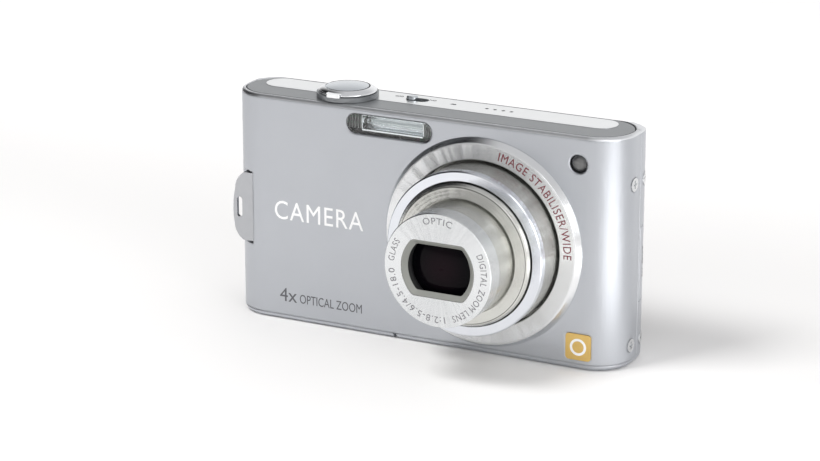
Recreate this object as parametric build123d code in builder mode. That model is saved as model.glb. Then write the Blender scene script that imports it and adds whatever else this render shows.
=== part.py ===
from build123d import *
from math import cos, radians, sin, sqrt
import os

# A slim pocket digital camera, standing on its base, with its lens run out.
# Frame: +X to the right as seen from the front, +Y to the rear, +Z up.
# Origin: the middle of the base. All sizes are in millimetres.

# ---------------------------------------------------------------- driving dimensions
width = 95.0
depth = 19.5
height = 52.1
corner_radius = 8.0  # the four upright corners
rear_top_radius = 4.5
rim_radius = 0.9
foot_radius = 1.5
shoulder_radius = 4.2  # the rounding of the two rear top corners
wall = 0.8
gap = 0.12  # between two fixed covers
front_y = -depth / 2
rear_y = depth / 2
corner_x = width / 2 - corner_radius
corner_y = depth / 2 - corner_radius
wall_front_y = front_y + wall
seam_y = 0.75  # where the front and rear casings meet
floor_top = 1.35  # top of the base strip, which is also the battery door's thickness

# The lens: its axis, then each tube's radius and the place of its front when run out.
lens_x = 15.5
lens_z = 25.5
bezel_radius = 23.55
bezel_face_radius = 22.5
bezel_neck_radius = 22.6
bezel_bore = 18.8
bezel_face_y = front_y - 1.55
housing_radius = 21.5
housing_bore = 19.9
housing_lip = 18.75
housing_front_y = -8.65
housing_back_y = 4.0
outer_radius = 18.3
outer_bore = 17.2
outer_front_y = -19.23
middle_radius = 15.9
middle_bore = 15.0
middle_front_y = -20.77
inner_radius = 12.45
inner_bore = 11.6
inner_front_y = -31.68
sleeve_gap = 0.2  # radial room between one sliding tube and the next

# Controls on top.
turret_x = -21.4
turret_y = -2.15
turret_radius = 6.9
turret_top = height + 1.1
control_y = 1.55  # the line of the switch, microphone and loudspeaker holes
switch_x = -6.0
plate_y = 1.35
plate_length = 85.3
plate_depth = 7.4
plate_x = -0.95
cover_y = -1.55
cover_length = 92.9
cover_depth = 14.3
cover_bottom = 50.9
groove = 0.25

# Flash, lamp and badge on the front.
flash_x = -7.3
flash_z = 48.3
flash_length = 20.9
flash_height = 4.55
lamp_x = 37.65
lamp_z = 46.0
lamp_radius = 2.05
badge_x = 38.4
badge_z = 5.3
badge_size = 5.9

# Strap lug, a flat plate that shows in a notch of the front left corner.
lug_front_y = -8.9
lug_thickness = 0.8
lug_z = 25.1
lug_half_height = 8.1
lug_root_x = -37.0
notch_x = -42.0

# Rear: screen and keys.
screen_x = 11.8
screen_z = 25.5
screen_width = 54.6
screen_height = 42.6
pad_x = -28.6
pad_z = 19.5
pad_radius = 9.0
dial_x = -32.0
dial_z = 39.8
dial_radius = 6.35
key_z = 6.6
key_back_y = 7.95
key_front_y = rear_y + 0.2

# Battery side.
door_seam_x = -5.6
hinge_x = -6.35
hinge_z = 0.68
hinge_nose = 0.67
hinge_pin_radius = 0.3
lug_pair_y = 5.9
battery_width = 33.5
battery_thickness = 6.4
battery_height = 40.5
battery_x = -26.25
battery_y = 2.7
card_x = -25.0
card_y = -3.3
bay_floor = 2.1

# Tripod socket: a 1/4 inch, 20 threads per inch hole, shown at its drilled radius.
tripod_x = 41.0
tripod_radius = 2.55
tripod_depth = 5.2
insert_radius = 3.9

# Port door on the right side, in the rear casing.
port_low_y = 1.45
port_high_y = 6.35
port_low_z = 13.5
port_high_z = 30.5

# Zoom motor and its two gears.
motor_x = 33.4
motor_z = 7.6
gear_module = 0.4
pinion_teeth = 10
gear_teeth = 20
gear_bearing = radians(45)  # direction from the pinion to the gear
gear_distance = 6.08
gear_x = motor_x + gear_distance * cos(gear_bearing)
gear_z = motor_z + gear_distance * sin(gear_bearing)
gear_front_y = -7.4
gear_thickness = 1.5

lens_axis = Axis((lens_x, 0, lens_z), (0, 1, 0))
lens_section = Plane(origin=(lens_x, 0, lens_z))  # sketch x is the radius, sketch y is +Y


def facing(y):
    """An upright plane at y: sketch x is +X, sketch y is +Z, and it extrudes towards the front."""
    return Plane(origin=(0, y, 0), x_dir=(1, 0, 0), z_dir=(0, -1, 0))


def level(z):
    """A level plane at height z that extrudes upwards."""
    return Plane.XY.offset(z)


def save(piece, label):
    """Labels a finished piece and writes it to its own file."""
    piece.part.label = label
    export_step(piece.part, f"parts/{label}.step")


def body_form(inset):
    """The camera's whole outer form, shrunk by inset on every side."""
    with BuildPart() as form:
        with BuildSketch(level(inset)):
            RectangleRounded(width - 2 * inset, depth - 2 * inset, corner_radius - inset)
        extrude(amount=height - 2 * inset)
        if inset == 0:
            fillet(form.edges().group_by(Axis.Z)[-1], rim_radius)
            fillet(form.edges().group_by(Axis.Z)[0], foot_radius)
        with BuildSketch(Plane.YZ):
            with BuildLine():
                Polyline(
                    (rear_y - inset, 0),
                    (front_y + inset, 0),
                    (front_y + inset, height - inset),
                    (rear_y - rear_top_radius, height - inset),
                )
                RadiusArc(
                    (rear_y - rear_top_radius, height - inset),
                    (rear_y - inset, height - rear_top_radius),
                    rear_top_radius - inset,
                )
                Line((rear_y - inset, height - rear_top_radius), (rear_y - inset, 0))
            make_face()
        extrude(amount=width, both=True, mode=Mode.INTERSECT)
        # The rear top corners fall away in an arc that runs round the end of the top cover.
        shoulder_x = (cover_length - cover_depth) / 2
        shoulder_start = cover_depth / 2 + 0.6
        top = height - inset
        arc = shoulder_radius - inset
        for side in (-1, 1):
            out = Plane(origin=(side * shoulder_x, cover_y, 0), x_dir=(side, 0, 0), z_dir=(0, -side, 0))
            with BuildSketch(out):
                with BuildLine():
                    Line((shoulder_start, top), (shoulder_start, top + 3))
                    Line((shoulder_start, top + 3), (shoulder_start + arc, top + 3))
                    Line((shoulder_start + arc, top + 3), (shoulder_start + arc, top - arc))
                    RadiusArc((shoulder_start + arc, top - arc), (shoulder_start, top), -arc)
                make_face()
            revolve(
                axis=Axis((side * shoulder_x, cover_y, 0), (0, 0, side)),
                revolution_arc=90,
                mode=Mode.SUBTRACT,
            )
    return form.part


def lens_ring(points):
    """A ring about the lens axis, from a closed outline of (radius, y) points."""
    with BuildPart() as ring:
        with BuildSketch(lens_section):
            with BuildLine():
                Polyline(*points, close=True)
            make_face()
        revolve(axis=lens_axis)
    return ring.part


def side_screw_planes():
    """One plane for each side screw, on the casing's skin and facing outwards."""
    planes = []
    for side in (-1, 1):
        for centre_y, turn in ((-corner_y, radians(-3)), (corner_y, radians(15))):
            for z in (4.75, 40.8):
                x = side * (corner_x + corner_radius * cos(turn))
                y = centre_y + corner_radius * sin(turn)
                out = (side * cos(turn), sin(turn), 0)
                planes.append(Plane(origin=(x, y, z), x_dir=(0, 0, 1), z_dir=out))
    return planes


def base_screw_places():
    """Where the three screws that hold the base cover stand."""
    return [(2.0, 5.2), (29.0, 5.2), (2.0, -6.0)]


def gear_wheel(teeth, first_angle, bore):
    """A small spur gear about the sketch origin, with its first tooth at first_angle degrees."""
    pitch = gear_module * teeth / 2
    with BuildSketch() as wheel:
        Circle(pitch - 1.1 * gear_module)
        with PolarLocations(pitch - 0.2 * gear_module, teeth, start_angle=first_angle):
            Trapezoid(2.15 * gear_module, 2.0 * gear_module, 72, rotation=-90)
        Circle(bore, mode=Mode.SUBTRACT)
    return wheel.sketch


os.makedirs("parts", exist_ok=True)
outer_form = body_form(0)
inner_form = body_form(wall)
screw_planes = side_screw_planes()
screw_head_radius = 1.5
screw_seat = 0.45

# ---------------------------------------------------------------- casings and covers

# Front casing: a thin metal tray with the lens, flash and lamp holes.
with BuildPart() as front_casing:
    add(outer_form)
    add(inner_form, mode=Mode.SUBTRACT)
    with Locations((0, (front_y + seam_y) / 2, (floor_top + height) / 2)):
        Box(width, seam_y - front_y, height - floor_top, mode=Mode.INTERSECT)
    with BuildSketch(level(cover_bottom)):
        with Locations((0, cover_y)):
            SlotOverall(cover_length + 2 * groove, cover_depth + 2 * groove)
    extrude(amount=2, mode=Mode.SUBTRACT)
    with BuildSketch(facing(wall_front_y + 0.1)):
        with Locations((lens_x, lens_z)):
            Circle(bezel_neck_radius + 0.05)
        with Locations((flash_x, flash_z)):
            SlotOverall(flash_length, flash_height)
        with Locations((lamp_x, lamp_z)):
            Circle(lamp_radius)
    extrude(amount=wall + 0.2, mode=Mode.SUBTRACT)
    with BuildSketch(facing(front_y + 0.25)):
        with Locations((badge_x, badge_z)):
            RectangleRounded(badge_size + 0.1, badge_size + 0.1, 0.85)
    extrude(amount=1, mode=Mode.SUBTRACT)
    with Locations((notch_x - 4, lug_front_y, lug_z + 0.2)):
        Box(8, 2.7, 2 * lug_half_height + 0.5, mode=Mode.SUBTRACT)
    with Locations((notch_x + 2, lug_front_y + 1.5, lug_z)):
        Box(5, 3.1, 11.2, mode=Mode.SUBTRACT)
    with Locations(*screw_planes):
        CounterBoreHole(0.85, screw_head_radius + 0.1, screw_seat, depth=2)
save(front_casing, "front_casing")

# Rear casing: the other tray, with the screen, key and dial openings.
with BuildPart() as rear_casing:
    add(outer_form)
    add(inner_form, mode=Mode.SUBTRACT)
    with Locations((0, (rear_y + seam_y + 0.06) / 2, (floor_top + height) / 2)):
        Box(width, rear_y - seam_y - 0.06, height - floor_top, mode=Mode.INTERSECT)
    with BuildSketch(level(cover_bottom)):
        with Locations((0, cover_y)):
            SlotOverall(cover_length + 2 * groove, cover_depth + 2 * groove)
    extrude(amount=2, mode=Mode.SUBTRACT)
    with BuildSketch(facing(rear_y + 0.1)):
        with Locations((screen_x, screen_z)):
            RectangleRounded(screen_width + 0.2, screen_height + 0.2, 1.3)
        with Locations((pad_x, pad_z)):
            Circle(pad_radius + 0.2)
        with Locations((dial_x, dial_z)):
            Circle(dial_radius + 0.25)
        with Locations((pad_x - 5.4, key_z), (pad_x + 5.4, key_z)):
            SlotOverall(6.4, 3.0)
    extrude(amount=wall + 0.2, mode=Mode.SUBTRACT)
    with Locations((width / 2 - 1.5, (port_low_y + port_high_y) / 2, (port_low_z + port_high_z) / 2)):
        Box(4, port_high_y - port_low_y, port_high_z - port_low_z, mode=Mode.SUBTRACT)
    with Locations(*screw_planes):
        CounterBoreHole(0.85, screw_head_radius + 0.1, screw_seat, depth=2)
save(rear_casing, "rear_casing")

# Port door: the piece of the rear casing's wall that swings away from the socket.
with BuildPart() as port_door:
    add(outer_form)
    add(inner_form, mode=Mode.SUBTRACT)
    with Locations((width / 2 - 1.5, (port_low_y + port_high_y) / 2, (port_low_z + port_high_z) / 2)):
        Box(
            4,
            port_high_y - port_low_y - 2 * gap,
            port_high_z - port_low_z - 2 * gap,
            mode=Mode.INTERSECT,
        )
save(port_door, "port_door")

# Top cover: the round-ended band with the turret that carries the shutter button.
with BuildPart() as top_cover:
    with BuildSketch(level(cover_bottom)):
        with Locations((0, cover_y)):
            SlotOverall(cover_length, cover_depth)
    extrude(amount=height - cover_bottom)
    chamfer(top_cover.edges().group_by(Axis.Z)[-1], 0.15)
    with BuildSketch(level(height - 0.5)):
        with Locations((plate_x, plate_y)):
            SlotOverall(plate_length + 0.1, plate_depth + 0.1)
    extrude(amount=1, mode=Mode.SUBTRACT)
    with BuildSketch(level(cover_bottom)):
        with Locations((turret_x, turret_y)):
            Circle(turret_radius - 0.5)
    extrude(amount=turret_top - cover_bottom)
    with BuildSketch(level(height + 0.1)):
        with Locations((turret_x, turret_y)):
            Circle(turret_radius)
    extrude(amount=turret_top - height - 0.1)
    with BuildSketch(level(cover_bottom)):
        with Locations((turret_x, turret_y)):
            Circle(4.3)
        with Locations((switch_x, control_y)):
            SlotOverall(4.6, 1.3)
        with Locations((2.8, control_y)):
            SlotOverall(1.4, 0.8)
        with Locations((13.85, control_y)):
            with GridLocations(1.97, 1, 4, 1):
                Circle(0.42)
    extrude(amount=turret_top - cover_bottom, mode=Mode.SUBTRACT)
    with BuildSketch(level(height - 0.85)):
        with Locations((switch_x, control_y)):
            SlotOverall(5.4, 2.9)
    extrude(amount=1, mode=Mode.SUBTRACT)
save(top_cover, "top_cover")

# Top plate: the bright inlay in the top cover.
with BuildPart() as top_plate:
    with BuildSketch(level(height - 0.5)):
        with Locations((plate_x, plate_y)):
            SlotOverall(plate_length, plate_depth)
        with Locations((turret_x, turret_y)):
            Circle(turret_radius - 0.45, mode=Mode.SUBTRACT)
        with Locations((switch_x, control_y)):
            SlotOverall(5.4, 2.9, mode=Mode.SUBTRACT)
        with Locations((2.8, control_y)):
            SlotOverall(1.4, 0.8, mode=Mode.SUBTRACT)
        with Locations((13.85, control_y)):
            with GridLocations(1.97, 1, 4, 1):
                Circle(0.42, mode=Mode.SUBTRACT)
    extrude(amount=0.56)
save(top_plate, "top_plate")

# Base cover: the fixed part of the base, with two lugs for the door's pin.
with BuildPart() as base_cover:
    add(outer_form)
    with Locations(((width / 2 + door_seam_x + 0.05) / 2, 0, floor_top / 2)):
        Box(width / 2 - door_seam_x - 0.05, depth, floor_top, mode=Mode.INTERSECT)
    for side in (-1, 1):
        with BuildSketch(facing(side * lug_pair_y + 0.7)):
            with Locations((hinge_x, hinge_z)):
                Circle(hinge_nose - 0.05)
            with Locations(((hinge_x + door_seam_x) / 2 + 0.1, hinge_z)):
                Rectangle(door_seam_x - hinge_x + 0.2, 2 * hinge_nose - 0.1)
            with Locations((hinge_x, hinge_z)):
                Circle(hinge_pin_radius + 0.01, mode=Mode.SUBTRACT)
        extrude(amount=1.4)
    with BuildSketch(level(0)):
        with Locations((tripod_x, 0)):
            Circle(insert_radius + 0.1)
    extrude(amount=floor_top, mode=Mode.SUBTRACT)
    with BuildSketch(level(0)):
        with Locations(*base_screw_places()):
            Circle(0.6)
    extrude(amount=floor_top, mode=Mode.SUBTRACT)
    with BuildSketch(level(0)):
        with Locations(*base_screw_places()):
            Circle(1.3)
    extrude(amount=0.65, mode=Mode.SUBTRACT)
save(base_cover, "base_cover")

# Battery door: the rest of the base, with a rounded nose about its hinge pin.
with BuildPart() as battery_door:
    add(outer_form)
    with Locations(((hinge_x - width / 2) / 2, 0, floor_top / 2)):
        Box(hinge_x + width / 2, depth, floor_top - 0.02, mode=Mode.INTERSECT)
    with BuildSketch(facing(rear_y - foot_radius)):
        with Locations((hinge_x, hinge_z)):
            Circle(hinge_nose)
    extrude(amount=depth - 2 * foot_radius)
    for side in (-1, 1):
        with Locations((hinge_x + 0.1, side * lug_pair_y, hinge_z)):
            Box(2.0, 1.7, 2, mode=Mode.SUBTRACT)
    with BuildSketch(facing(7.5)):
        with Locations((hinge_x, hinge_z)):
            Circle(hinge_pin_radius + 0.04)
    extrude(amount=15.0, mode=Mode.SUBTRACT)
    with Locations((-38.5, 0, 0.35)):
        Box(8.0, 5.2, 0.8, mode=Mode.SUBTRACT)
save(battery_door, "battery_door")

# Door latch: the finger slide in the door's underside.
with BuildPart() as door_latch:
    with BuildSketch(level(0.1)):
        with Locations((-39.7, 0)):
            RectangleRounded(5.2, 4.8, 0.5)
    extrude(amount=0.6)
    with BuildSketch(level(0.1)):
        with Locations((-39.7, 0)):
            with GridLocations(0.8, 1, 5, 1):
                Rectangle(0.3, 3.4)
    extrude(amount=0.2, mode=Mode.SUBTRACT)
save(door_latch, "battery_door_latch")

with BuildPart() as hinge_pin:
    with BuildSketch(facing(7.4)):
        with Locations((hinge_x, hinge_z)):
            Circle(hinge_pin_radius)
    extrude(amount=14.8)
save(hinge_pin, "door_hinge_pin")

# ---------------------------------------------------------------- inner structure

# Chassis: side posts, top bar, middle wall and bottom bar in one moulding.
bar_low = 2.05
bar_high = 2.85
top_bar_low = 47.2
top_bar_high = 48.0
post_inner = 45.0
post_outer = 46.0
with BuildPart() as chassis:
    for side in (-1, 1):
        with Locations((side * (post_inner + post_outer) / 2, 0.35, (bar_low + top_bar_high) / 2)):
            Box(post_outer - post_inner, 7.7, top_bar_high - bar_low)
    with Locations((0, 0.2, (top_bar_low + top_bar_high) / 2)):
        Box(2 * post_outer, 7.4, top_bar_high - top_bar_low)
    with Locations((-7.9, 0.2, (bar_low + top_bar_high) / 2)):
        Box(0.8, 7.4, top_bar_high - bar_low)
    with Locations(((post_inner + 0.1 - 8.3) / 2, -0.2, (bar_low + bar_high) / 2)):
        Box(post_inner + 0.1 + 8.3, 12.0, bar_high - bar_low)
    with Locations((post_inner, port_low_y + 3, (port_low_z + port_high_z) / 2)):
        Box(4, 6, port_high_z - port_low_z - 1, mode=Mode.SUBTRACT)
    with BuildSketch(level(bar_low)):
        with Locations((tripod_x, 0)):
            Circle(insert_radius + 0.1)
        with Locations(*base_screw_places()):
            Circle(0.52)
    extrude(amount=bar_high - bar_low, mode=Mode.SUBTRACT)
    with Locations(*screw_planes):
        Hole(0.75, depth=4)
save(chassis, "chassis")

# Battery bay: an open-bottomed box for the battery, with the card's slot in front of it.
with BuildPart() as battery_bay:
    with Locations((battery_x, 0.625, (bay_floor + 43.5) / 2)):
        Box(battery_width + 1.6, 11.65, 43.5 - bay_floor)
    with Locations((battery_x, battery_y, bay_floor + battery_height / 2)):
        Box(battery_width + 0.3, battery_thickness + 0.3, battery_height + 0.3, mode=Mode.SUBTRACT)
    with Locations((card_x, card_y, bay_floor + 16)):
        Box(24.4, 2.4, 32.6, mode=Mode.SUBTRACT)
save(battery_bay, "battery_bay")

with BuildPart() as battery:
    with Locations((battery_x, battery_y, bay_floor + battery_height / 2)):
        Box(battery_width, battery_thickness, battery_height)
    fillet(battery.edges().filter_by(Axis.Z), 1.2)
save(battery, "battery")

with BuildPart() as memory_card:
    with BuildSketch(facing(card_y + 1.05)) as card_outline:
        with Locations((card_x, bay_floor + 16.1)):
            Rectangle(24, 32)
        chamfer(card_outline.vertices().group_by(Axis.Y)[-1].sort_by(Axis.X)[0], 4)
    extrude(amount=2.1)
save(memory_card, "memory_card")

# Tripod socket: a blind threaded insert.
with BuildPart() as tripod_socket:
    with BuildSketch(level(0.1)):
        with Locations((tripod_x, 0)):
            Circle(insert_radius)
    extrude(amount=tripod_depth + 0.8)
    with BuildSketch(level(0.1)):
        with Locations((tripod_x, 0)):
            Circle(tripod_radius)
    extrude(amount=tripod_depth, mode=Mode.SUBTRACT)
save(tripod_socket, "tripod_socket")

# Screws: eight in the sides and three in the base, each with a cross recess.
with BuildPart() as screws:
    for plane in screw_planes:
        with BuildSketch(plane.offset(-screw_seat)):
            Circle(screw_head_radius)
        extrude(amount=screw_seat + 0.05)
        with BuildSketch(plane.offset(-2.5)):
            Circle(0.7)
        extrude(amount=2.5 - screw_seat)
        with BuildSketch(plane.offset(-0.25)):
            Rectangle(1.7, 0.4)
            Rectangle(0.4, 1.7)
        extrude(amount=0.4, mode=Mode.SUBTRACT)
    with BuildSketch(level(0.15)):
        with Locations(*base_screw_places()):
            Circle(1.2)
    extrude(amount=0.5)
    with BuildSketch(level(0.65)):
        with Locations(*base_screw_places()):
            Circle(0.5)
    extrude(amount=2.1)
    with BuildSketch(level(0.15)):
        with Locations(*base_screw_places()):
            Rectangle(1.3, 0.3)
            Rectangle(0.3, 1.3)
    extrude(amount=0.25, mode=Mode.SUBTRACT)
save(screws, "casing_screws")

# Strap lug: a flat plate with a bulging outer edge and a cord slot.
lug_top = lug_z + 8.1
lug_bottom = lug_z - 7.9
with BuildPart() as strap_lug:
    with BuildSketch(facing(lug_front_y + lug_thickness)):
        with BuildLine():
            Polyline(
                (-44.8, lug_bottom),
                (notch_x - 0.1, lug_bottom),
                (notch_x - 0.1, lug_z - 5.5),
                (lug_root_x, lug_z - 5.5),
                (lug_root_x, lug_z + 5.5),
                (notch_x - 0.1, lug_z + 5.5),
                (notch_x - 0.1, lug_top),
                (-44.5, lug_top),
            )
            ThreePointArc((-44.5, lug_top), (-45.85, lug_top - 1.25), (-46.85, lug_top - 4.2))
            ThreePointArc((-46.85, lug_top - 4.2), (-47.35, lug_z), (-47.1, lug_bottom + 3.7))
            ThreePointArc((-47.1, lug_bottom + 3.7), (-46.15, lug_bottom + 1.15), (-44.8, lug_bottom))
        make_face()
        with Locations((-45.7, lug_z - 0.2)):
            SlotOverall(4.8, 1.35, rotation=90, mode=Mode.SUBTRACT)
    extrude(amount=lug_thickness)
save(strap_lug, "strap_lug")

# ---------------------------------------------------------------- lens unit

# Bezel: the raised ring on the front, with a sloping flank.
with BuildPart() as lens_bezel:
    add(
        lens_ring(
            [
                (bezel_bore, bezel_face_y + 0.15),
                (bezel_bore + 0.15, bezel_face_y),
                (bezel_face_radius - 0.25, bezel_face_y),
                (bezel_face_radius + 0.12, bezel_face_y + 0.12),
                (bezel_radius - 0.05, front_y - 0.15),
                (bezel_radius, front_y),
                (bezel_neck_radius, front_y),
                (bezel_neck_radius, -8.7),
                (bezel_bore, -8.7),
            ]
        )
    )
save(lens_bezel, "lens_bezel")

# Housing: the fixed tube that the barrels run in, with the sensor window in its back wall.
with BuildPart() as lens_housing:
    add(
        lens_ring(
            [
                (housing_lip, housing_front_y),
                (housing_radius, housing_front_y),
                (housing_radius, housing_back_y),
                (0, housing_back_y),
                (0, 2.9),
                (housing_bore, 2.9),
                (housing_bore, -7.8),
                (housing_lip, -7.8),
            ]
        )
    )
    with Locations((lens_x, 3.4, lens_z)):
        Box(9.0, 2, 7.0, mode=Mode.SUBTRACT)
    with BuildSketch(facing(-4.9)):
        with Locations((gear_x, gear_z)):
            Circle(1.6)
        with Locations((gear_x - 2.0, gear_z + 1.23)):
            Rectangle(4.6, 3.0, rotation=-31.5)
    extrude(amount=0.7)
    with BuildSketch(facing(-5.6)):
        with Locations((gear_x, gear_z)):
            Circle(0.5)
    extrude(amount=2.1)
save(lens_housing, "lens_housing")

with BuildPart() as outer_barrel:
    add(
        lens_ring(
            [
                (outer_bore, -17.35),
                (outer_radius - 0.05, -17.35),
                (outer_radius - 0.05, -6.8),
                (housing_bore - sleeve_gap, -6.8),
                (housing_bore - sleeve_gap, -5.6),
                (outer_bore, -5.6),
            ]
        )
    )
save(outer_barrel, "outer_barrel")

# Bright ring that caps the outer barrel and wraps over its front edge.
with BuildPart() as outer_barrel_ring:
    add(
        lens_ring(
            [
                (middle_radius + sleeve_gap, outer_front_y + 0.1),
                (middle_radius + sleeve_gap + 0.1, outer_front_y),
                (outer_radius - 0.22, outer_front_y),
                (outer_radius + 0.03, outer_front_y + 0.25),
                (outer_radius + 0.03, -17.35),
                (outer_bore, -17.35),
                (outer_bore, outer_front_y + 0.8),
                (middle_radius + sleeve_gap, outer_front_y + 0.8),
            ]
        )
    )
save(outer_barrel_ring, "outer_barrel_ring")

with BuildPart() as middle_barrel:
    add(
        lens_ring(
            [
                (inner_radius + 0.4, middle_front_y),
                (middle_radius - 0.8, middle_front_y + 0.32),
                (middle_radius - 0.4, middle_front_y + 0.52),
                (middle_radius - 0.05, middle_front_y + 1.07),
                (middle_radius - 0.05, -8.1),
                (outer_bore - sleeve_gap, -8.1),
                (outer_bore - sleeve_gap, -6.9),
                (middle_bore, -6.9),
                (middle_bore, -19.95),
                (inner_radius + 0.4, -19.95),
            ]
        )
    )
save(middle_barrel, "middle_barrel")

# Inner barrel, with the web that carries the zoom lens.
with BuildPart() as inner_barrel:
    add(
        lens_ring(
            [
                (inner_bore, -27.4),
                (inner_radius, -27.4),
                (inner_radius, -19.75),
                (middle_bore - sleeve_gap, -19.75),
                (middle_bore - sleeve_gap, -18.95),
                (inner_bore, -18.95),
                (inner_bore, -21.0),
                (5.2, -21.0),
                (5.2, -22.4),
                (inner_bore, -22.4),
            ]
        )
    )
save(inner_barrel, "inner_barrel")


def dome_middle(radius, peak_y, rim_y):
    """A point half way out on the ball surface with its peak on the axis and its rim at radius."""
    rise = abs(rim_y - peak_y)
    ball = (radius**2 + rise**2) / (2 * rise)
    drop = ball - sqrt(ball**2 - radius**2 / 4)
    return (radius / 2, peak_y + drop * (1 if rim_y > peak_y else -1))


def window_outline(radius, half_height, corner):
    """A circle cut off flat above and below, with softened corners, about the sketch origin."""
    with BuildSketch() as outline:
        Circle(radius)
        Rectangle(2 * radius, 2 * half_height, mode=Mode.INTERSECT)
        fillet(outline.vertices(), corner)
    return outline.sketch


trim_outline = window_outline(8.5, 6.15, 1.5)
trim_seat = window_outline(8.55, 6.2, 1.5)
hole_outline = window_outline(7.3, 5.1, 1.0)
trim_depth = 0.85
lens_face = Plane(origin=(lens_x, inner_front_y, lens_z), x_dir=(1, 0, 0), z_dir=(0, -1, 0))

# Name ring: the bright cap of the inner barrel, with the lens window in its face.
with BuildPart() as name_ring:
    add(
        lens_ring(
            [
                (0, inner_front_y),
                (inner_radius - 0.12, inner_front_y),
                (inner_radius + 0.05, inner_front_y + 0.15),
                (inner_radius + 0.05, -27.4),
                (inner_bore + 0.1, -27.4),
                (inner_bore + 0.1, inner_front_y + 0.9),
                (0, inner_front_y + 0.9),
            ]
        )
    )
    with BuildSketch(lens_face.offset(-1.0)):
        add(trim_seat)
    extrude(amount=2, mode=Mode.SUBTRACT)
save(name_ring, "name_ring")

# Window frame: the bevelled frame set into the name ring.
with BuildPart() as window_frame:
    with BuildSketch(lens_face.offset(-0.88)):
        add(trim_outline)
    extrude(amount=0.84)
    with BuildSketch(lens_face.offset(-0.88)):
        add(hole_outline)
    with BuildSketch(lens_face.offset(-0.02)):
        add(window_outline(8.3, 5.95, 1.4))
    loft(mode=Mode.SUBTRACT)
save(window_frame, "window_frame")

# Barrier blades: two shutters that part above and below the window.
blade_radius = 11.3
blade_front_y = inner_front_y + 0.95
blade_edge = 5.2
blade_top = 10.75
for name, side in (("barrier_blade_upper", 1), ("barrier_blade_lower", -1)):
    with BuildPart() as blade:
        with BuildSketch(lens_face.offset(-1.25)):
            Circle(blade_radius)
            with Locations((0, side * (blade_edge + blade_top) / 2)):
                Rectangle(2 * blade_radius, blade_top - blade_edge, mode=Mode.INTERSECT)
        extrude(amount=0.3)
    save(blade, name)

# Front lens: a convex glass element, and the black holder round it.
with BuildPart() as front_lens:
    with BuildSketch(lens_section):
        with BuildLine():
            Polyline((0, -29.9), (0, -27.6), (7.4, -27.6), (7.4, -28.6))
            ThreePointArc((7.4, -28.6), dome_middle(7.4, -29.9, -28.6), (0, -29.9))
        make_face()
    revolve(axis=lens_axis)
save(front_lens, "front_lens")

with BuildPart() as front_lens_holder:
    add(
        lens_ring(
            [
                (7.5, -29.2),
                (7.9, -30.2),
                (inner_bore, -30.2),
                (inner_bore, -27.45),
                (5.5, -27.0),
                (5.5, -27.55),
                (7.5, -27.55),
            ]
        )
    )
save(front_lens_holder, "front_lens_holder")

with BuildPart() as zoom_lens:
    with BuildSketch(lens_section):
        with BuildLine():
            Line((0, -23.2), (0, -20.4))
            ThreePointArc((0, -20.4), dome_middle(5.1, -20.4, -21.2), (5.1, -21.2))
            Line((5.1, -21.2), (5.1, -22.3))
            ThreePointArc((5.1, -22.3), dome_middle(5.1, -23.2, -22.3), (0, -23.2))
        make_face()
    revolve(axis=lens_axis)
save(zoom_lens, "zoom_lens")

# Focus lens in its carriage, in front of the sensor.
with BuildPart() as focus_lens:
    with BuildSketch(lens_section):
        with BuildLine():
            Polyline((0, 2.35), (0, 1.4), (4.0, 1.7), (4.0, 2.35), close=True)
        make_face()
    revolve(axis=lens_axis)
save(focus_lens, "focus_lens")

with BuildPart() as focus_carriage:
    add(lens_ring([(4.02, 1.6), (8.5, 1.6), (8.5, 2.4), (4.02, 2.4)]))
save(focus_carriage, "focus_carriage")

with BuildPart() as image_sensor:
    with Locations((lens_x, 4.45, lens_z)):
        Box(10.6, 0.9, 8.6)
    with Locations((lens_x, 3.75, lens_z)):
        Box(7.4, 0.5, 5.8)
save(image_sensor, "image_sensor")

with BuildPart() as sensor_board:
    with BuildSketch(facing(5.5)):
        with Locations((lens_x, lens_z)):
            RectangleRounded(22, 17, 1.5)
    extrude(amount=0.55)
save(sensor_board, "sensor_board")

# Zoom motor: a round can with a shaft, which the pinion turns with.
with BuildPart() as zoom_motor:
    with BuildSketch(facing(4.8)):
        with Locations((motor_x, motor_z)):
            Circle(3.6)
    extrude(amount=9.0)
    with BuildSketch(facing(-4.2)):
        with Locations((motor_x, motor_z)):
            Circle(1.2)
    extrude(amount=0.6)
save(zoom_motor, "zoom_motor")

with BuildPart() as zoom_pinion:
    with BuildSketch(facing(gear_front_y + gear_thickness)):
        with Locations((motor_x, motor_z)):
            add(gear_wheel(pinion_teeth, 45, 0.4))
    extrude(amount=gear_thickness)
    with BuildSketch(facing(-4.85)):
        with Locations((motor_x, motor_z)):
            Circle(0.4)
    extrude(amount=2.8)
save(zoom_pinion, "zoom_pinion")

with BuildPart() as zoom_gear:
    with BuildSketch(facing(gear_front_y + gear_thickness)):
        with Locations((gear_x, gear_z)):
            add(gear_wheel(gear_teeth, 45 + 180 / gear_teeth, 0.55))
    extrude(amount=gear_thickness)
save(zoom_gear, "zoom_gear")

# ---------------------------------------------------------------- flash, lamp and badge

with BuildPart() as flash_window:
    with BuildSketch(facing(-8.6)):
        with Locations((flash_x, flash_z)):
            SlotOverall(flash_length - 0.16, flash_height - 0.16)
    extrude(amount=1.25)
    chamfer(flash_window.edges().group_by(Axis.Y)[0], 0.12)
save(flash_window, "flash_window")

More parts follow.
